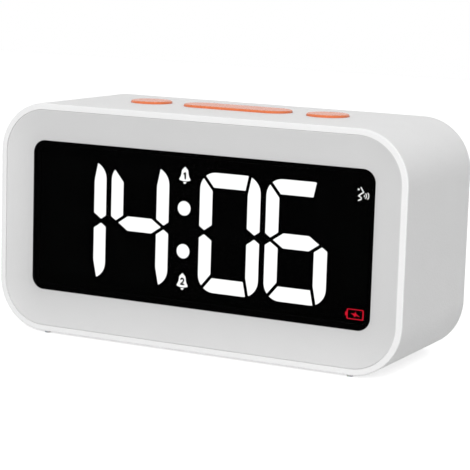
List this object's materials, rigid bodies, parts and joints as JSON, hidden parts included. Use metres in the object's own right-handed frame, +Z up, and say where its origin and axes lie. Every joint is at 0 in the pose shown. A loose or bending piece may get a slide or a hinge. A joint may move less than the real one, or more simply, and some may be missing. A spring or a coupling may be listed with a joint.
{
  "type": "desk alarm clock",
  "caption": "Free-standing digital desk alarm clock: a rounded white box with a dished front, dark window with lit digits and symbols, push buttons on top, keys and speaker grille behind.",
  "frame": {"origin": "in the plane of the feet, under the middle of the body", "axes": "+X to the right seen from the front, +Y from the dial to the back, +Z up"},
  "size_m": [0.1436, 0.0524, 0.0765],
  "materials": {
    "white_abs": "fine satin texture",
    "bezel_abs": "smooth satin",
    "cover_abs": "fine satin texture",
    "smoked_acrylic": "polished, smoked",
    "black_adhesive": "matt foam tape",
    "white_segments": "milky resin, lit from behind",
    "red_segments": "milky resin, lit red from behind",
    "led_package": "moulded package with a phosphor",
    "black_abs": "matt black",
    "board": "green solder mask",
    "zinc_steel": "zinc plated",
    "orange_abs": "satin orange",
    "key_abs": "satin light grey",
    "switch_plunger": "moulded black nylon",
    "switch_case": "moulded black nylon",
    "nickel_steel": "nickel plated",
    "chip_epoxy": "moulded epoxy",
    "capacitor_can": "drawn can",
    "connector_nylon": "cream nylon",
    "foam": "closed-cell foam",
    "black_steel": "black lacquer",
    "cone_paper": "pressed black paper",
    "ferrite": "ground ferrite",
    "cell_wrap": "blue shrink wrap",
    "ribbon_cable": "grey flat cable",
    "wire_pvc": "red PVC",
    "rubber_pad": "milky silicone"
  },
  "bodies": {
    "clock": {"housing": "white_abs", "front_bezel": "bezel_abs", "rear_cover": "cover_abs", "display_lens": "smoked_acrylic", "lens_gasket": "black_adhesive", "digit_hour_tens": "white_segments", "digit_hour_units": "white_segments", "digit_minute_tens": "white_segments", "digit_minute_units": "white_segments", "colon_dots": "white_segments", "alarm_1_symbol": "white_segments", "alarm_2_symbol": "white_segments", "voice_symbol": "white_segments", "battery_symbol": "red_segments", "led_chips": "led_package", "display_block": "black_abs", "display_board": "board", "key_board": "board", "main_board": "board", "display_screws": "zinc_steel", "key_board_screws": "zinc_steel", "main_board_screws": "zinc_steel", "speaker_screws": "zinc_steel", "cover_screws": "zinc_steel", "top_switches": "switch_case", "rear_switches": "switch_case", "slide_switch_case": "nickel_steel", "usb_socket": "nickel_steel", "controller_chip": "chip_epoxy", "audio_chip": "chip_epoxy", "quartz_crystal": "nickel_steel", "capacitors": "capacitor_can", "connectors": "connector_nylon", "speaker_foam": "foam", "speaker_basket": "black_steel", "speaker_cone": "cone_paper", "speaker_magnet": "ferrite", "speaker_clamp": "black_abs", "lithium_cell": "cell_wrap", "cell_cradle": "black_abs", "cell_strap": "black_abs", "display_ribbon": "ribbon_cable", "key_ribbon": "ribbon_cable", "speaker_leads": "wire_pvc", "cell_leads": "wire_pvc", "feet": "rubber_pad"},
    "left_button_body": {"left_button": "orange_abs", "left_plunger": "switch_plunger"},
    "snooze_body": {"snooze_bar": "orange_abs", "snooze_plunger": "switch_plunger"},
    "right_button_body": {"right_button": "orange_abs", "right_plunger": "switch_plunger"},
    "set_key_body": {"set_key": "key_abs", "set_plunger": "switch_plunger"},
    "minus_key_body": {"minus_key": "key_abs", "minus_plunger": "switch_plunger"},
    "plus_key_body": {"plus_key": "key_abs", "plus_plunger": "switch_plunger"},
    "voice_switch_body": {"voice_switch": "black_abs"}
  },
  "joints": [
    {"name": "left_button_press", "type": "slide", "parent": "clock", "child": "left_button_body", "axis": [0, 0, -1], "range_m": [0, 0.0005], "stiffness_N_per_m": 600},
    {"name": "snooze_press", "type": "slide", "parent": "clock", "child": "snooze_body", "axis": [0, 0, -1], "range_m": [0, 0.0005], "stiffness_N_per_m": 600},
    {"name": "right_button_press", "type": "slide", "parent": "clock", "child": "right_button_body", "axis": [0, 0, -1], "range_m": [0, 0.0005], "stiffness_N_per_m": 600},
    {"name": "set_key_press", "type": "slide", "parent": "clock", "child": "set_key_body", "axis": [0, -1, 0], "range_m": [0, 0.0005], "stiffness_N_per_m": 600},
    {"name": "minus_key_press", "type": "slide", "parent": "clock", "child": "minus_key_body", "axis": [0, -1, 0], "range_m": [0, 0.0005], "stiffness_N_per_m": 600},
    {"name": "plus_key_press", "type": "slide", "parent": "clock", "child": "plus_key_body", "axis": [0, -1, 0], "range_m": [0, 0.0005], "stiffness_N_per_m": 600},
    {"name": "voice_switch_slide", "type": "slide", "parent": "clock", "child": "voice_switch_body", "axis": [1, 0, 0], "range_m": [0, 0.002]}
  ]
}
